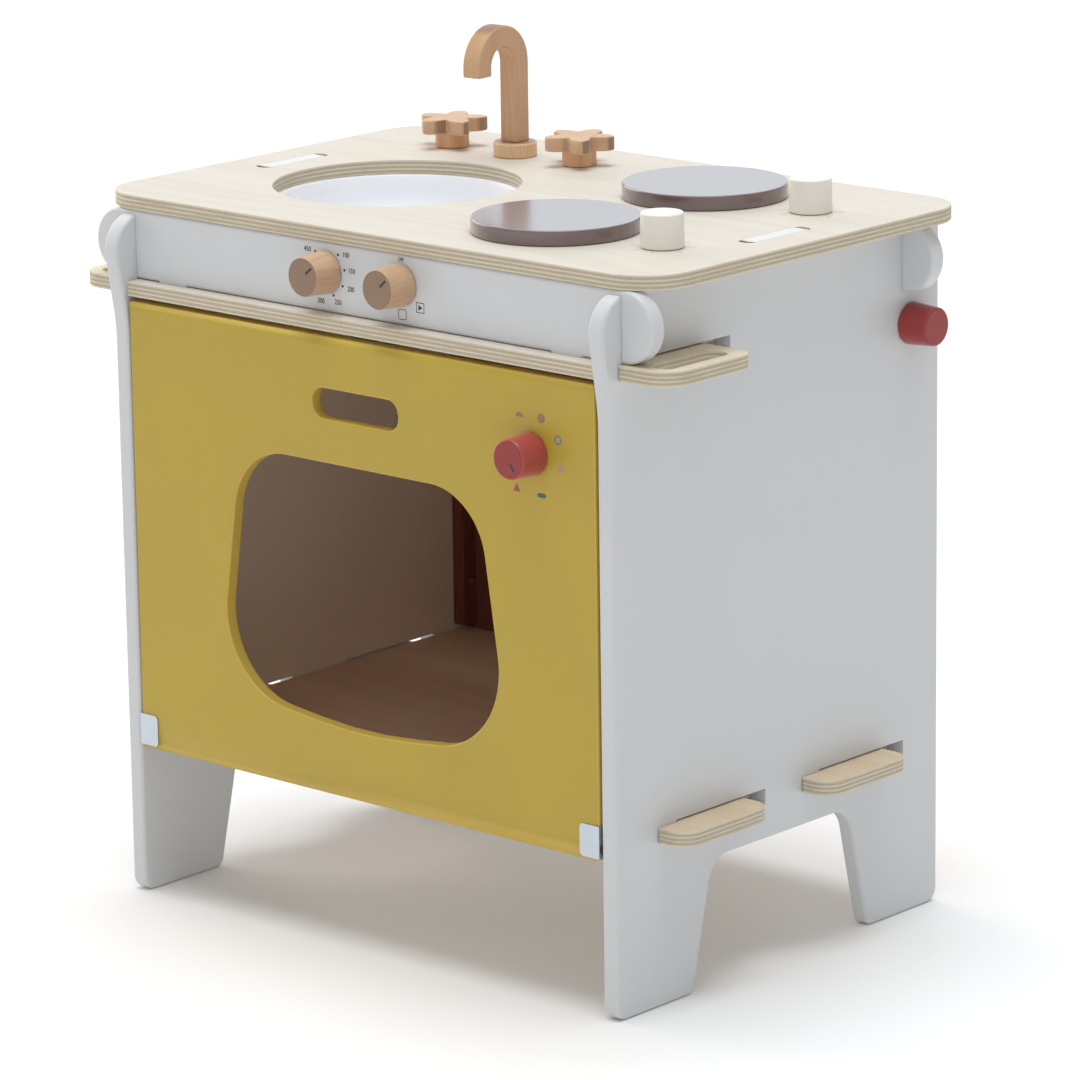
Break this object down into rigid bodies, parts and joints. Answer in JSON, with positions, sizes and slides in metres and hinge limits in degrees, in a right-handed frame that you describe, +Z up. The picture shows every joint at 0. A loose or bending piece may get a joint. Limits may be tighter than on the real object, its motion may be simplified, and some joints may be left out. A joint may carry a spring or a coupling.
{
  "type": "toy kitchen",
  "caption": "Wooden toy kitchen with an oven below a worktop, a bottom-hinged oven door with a window, a round sink with tap and handles, hob plates and turning knobs.",
  "frame": {"origin": "on the floor, at the middle of the overall width and of the overall depth", "axes": "+X to the right seen from the front, +Y from the oven door towards the back, +Z up; the door faces -Y"},
  "size_m": [0.637, 0.43, 0.7013],
  "materials": {
    "painted_white": "satin white lacquer on board",
    "plywood": "clear matt lacquer on birch plywood",
    "painted_yellow": "satin mustard yellow lacquer on board",
    "painted_red": "satin red lacquer on turned wood",
    "painted_cream": "satin cream lacquer on turned wood",
    "beech": "oiled beech",
    "brown_hardboard": "matt dark brown hardboard",
    "brown_wood": "matt dark brown stained batten",
    "hob_lacquer": "glossy mauve grey lacquer",
    "basin_plastic": "smooth pale lavender white",
    "catch_plastic": "white moulded plastic",
    "black_plastic": "black nylon",
    "magnet": "dark sintered magnet",
    "hinge_steel": "zinc plated sheet steel",
    "screw_steel": "zinc plated steel"
  },
  "bodies": {
    "carcass": {"left_side": "painted_white", "right_side": "painted_white", "bottom_shelf": "plywood", "upper_shelf": "plywood", "control_panel": "painted_white", "rear_panel": "painted_white", "worktop": "plywood", "back_panel": "brown_hardboard", "left_batten": "brown_wood", "right_batten": "brown_wood", "batten_screws": "screw_steel", "back_panel_screws": "screw_steel", "catch_housing": "catch_plastic", "catch_magnet": "magnet", "catch_screws": "screw_steel", "hinge_washers": "black_plastic", "spindle_washers": "screw_steel", "front_hob_plate": "hob_lacquer", "rear_hob_plate": "hob_lacquer", "hob_screws": "screw_steel", "spout_collar": "beech", "sink_basin": "basin_plastic", "basin_screws": "screw_steel"},
    "door": {"door": "painted_yellow", "left_hinge_clip": "hinge_steel", "right_hinge_clip": "hinge_steel", "clip_screws": "screw_steel", "left_hinge_pin": "hinge_steel", "right_hinge_pin": "hinge_steel", "strike_plate": "screw_steel", "strike_screws": "screw_steel", "door_knob_washer": "screw_steel"},
    "door_knob": {"door_knob": "painted_red", "door_knob_spindle": "screw_steel"},
    "temperature_knob": {"temperature_knob": "beech", "temperature_spindle": "screw_steel"},
    "program_knob": {"program_knob": "beech", "program_spindle": "screw_steel"},
    "side_knob": {"side_knob": "painted_red", "side_knob_spindle": "screw_steel"},
    "front_burner_knob": {"front_burner_knob": "painted_cream", "front_burner_spindle": "screw_steel"},
    "rear_burner_knob": {"rear_burner_knob": "painted_cream", "rear_burner_spindle": "screw_steel"},
    "left_tap": {"left_tap_star": "beech", "left_tap_hub": "beech", "left_tap_spindle": "screw_steel"},
    "right_tap": {"right_tap_star": "beech", "right_tap_hub": "beech", "right_tap_spindle": "screw_steel"},
    "spout": {"spout": "beech", "spout_bolt": "screw_steel"}
  },
  "joints": [
    {"name": "door_hinge", "type": "hinge", "parent": "carcass", "child": "door", "pos_m": [0, -0.1822, 0.1365], "axis": [1, 0, 0], "range_deg": [0, 90]},
    {"name": "door_knob_turn", "type": "hinge", "parent": "door", "child": "door_knob", "pos_m": [0.1866, -0.1882, 0.4407], "axis": [0, -1, 0], "continuous": true},
    {"name": "temperature_knob_turn", "type": "hinge", "parent": "carcass", "child": "temperature_knob", "pos_m": [-0.039, -0.1757, 0.5516], "axis": [0, -1, 0], "continuous": true},
    {"name": "program_knob_turn", "type": "hinge", "parent": "carcass", "child": "program_knob", "pos_m": [0.0412, -0.1757, 0.5516], "axis": [0, -1, 0], "continuous": true},
    {"name": "side_knob_turn", "type": "hinge", "parent": "carcass", "child": "side_knob", "pos_m": [0.268, 0.1755, 0.4922], "axis": [1, 0, 0], "continuous": true},
    {"name": "front_burner_knob_turn", "type": "hinge", "parent": "carcass", "child": "front_burner_knob", "pos_m": [0.224, -0.0762, 0.588], "axis": [0, 0, 1], "continuous": true},
    {"name": "rear_burner_knob_turn", "type": "hinge", "parent": "carcass", "child": "rear_burner_knob", "pos_m": [0.224, 0.1038, 0.588], "axis": [0, 0, 1], "continuous": true},
    {"name": "left_tap_turn", "type": "hinge", "parent": "carcass", "child": "left_tap", "pos_m": [-0.199, 0.1453, 0.588], "axis": [0, 0, 1], "continuous": true},
    {"name": "right_tap_turn", "type": "hinge", "parent": "carcass", "child": "right_tap", "pos_m": [-0.056, 0.1453, 0.588], "axis": [0, 0, 1], "continuous": true},
    {"name": "spout_swivel", "type": "hinge", "parent": "carcass", "child": "spout", "pos_m": [-0.1275, 0.1453, 0.588], "axis": [0, 0, 1], "continuous": true}
  ]
}
